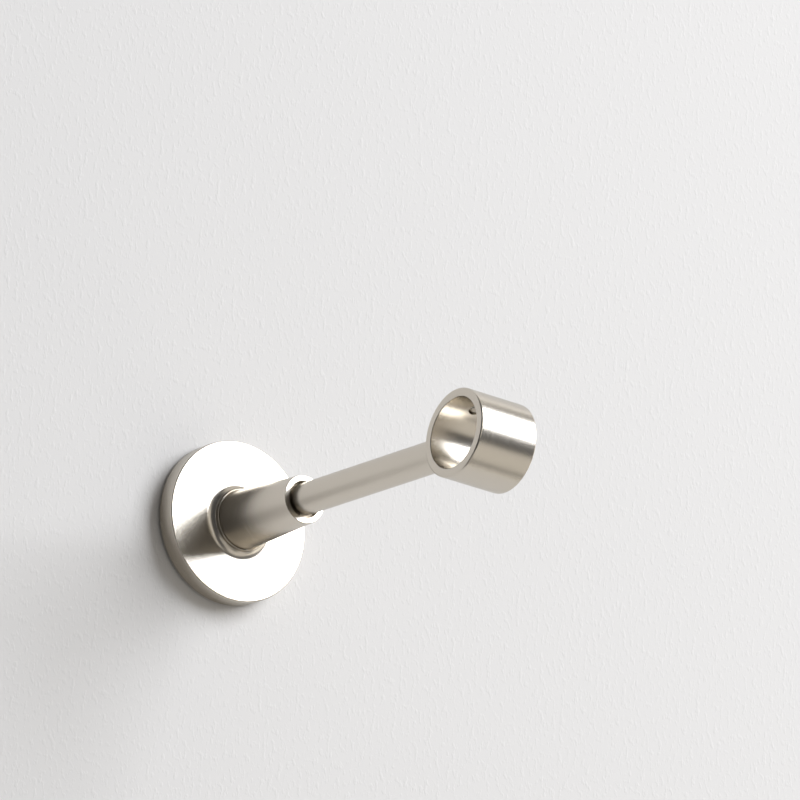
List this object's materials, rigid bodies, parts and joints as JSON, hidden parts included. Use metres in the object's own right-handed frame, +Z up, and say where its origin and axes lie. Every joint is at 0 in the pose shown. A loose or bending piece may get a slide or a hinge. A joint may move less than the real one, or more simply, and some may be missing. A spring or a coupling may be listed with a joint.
{
  "type": "curtain pole bracket",
  "caption": "Wall bracket for a round curtain pole: round cover on a wall plate, tapered post, telescoping round arm and a closed ring with a locking screw.",
  "frame": {"origin": "centre of the wall plate's back face, on the wall", "axes": "+Y into the wall, with the arm standing out along -Y; +X along the pole; +Z up"},
  "size_m": [0.06, 0.1685, 0.06],
  "materials": {
    "satin_nickel": "satin nickel plate, finely brushed",
    "zinc_plated_steel": "bright zinc plate",
    "screw_steel": "plain nickel-plated steel"
  },
  "bodies": {
    "base": {"wall_plate": "zinc_plated_steel", "post_screw": "zinc_plated_steel", "post": "satin_nickel"},
    "cover": {"cover": "satin_nickel"},
    "arm": {"arm": "satin_nickel", "pole_ring": "satin_nickel"},
    "post_set_screw": {"post_set_screw": "screw_steel"},
    "ring_set_screw": {"ring_set_screw": "screw_steel"}
  },
  "joints": [
    {"name": "arm_slide", "type": "slide", "parent": "base", "child": "arm", "axis": [0, 1, 0], "range_m": [0, 0.02]},
    {"name": "cover_slide", "type": "slide", "parent": "base", "child": "cover", "axis": [0, -1, 0], "range_m": [0, 0.09]},
    {"name": "post_set_screw_travel", "type": "slide", "parent": "base", "child": "post_set_screw", "axis": [0, 0, 1], "range_m": [0, 0.002]},
    {"name": "ring_set_screw_travel", "type": "slide", "parent": "arm", "child": "ring_set_screw", "axis": [0, -0.342, -0.9397], "range_m": [-0.0015, 0.0007]}
  ]
}
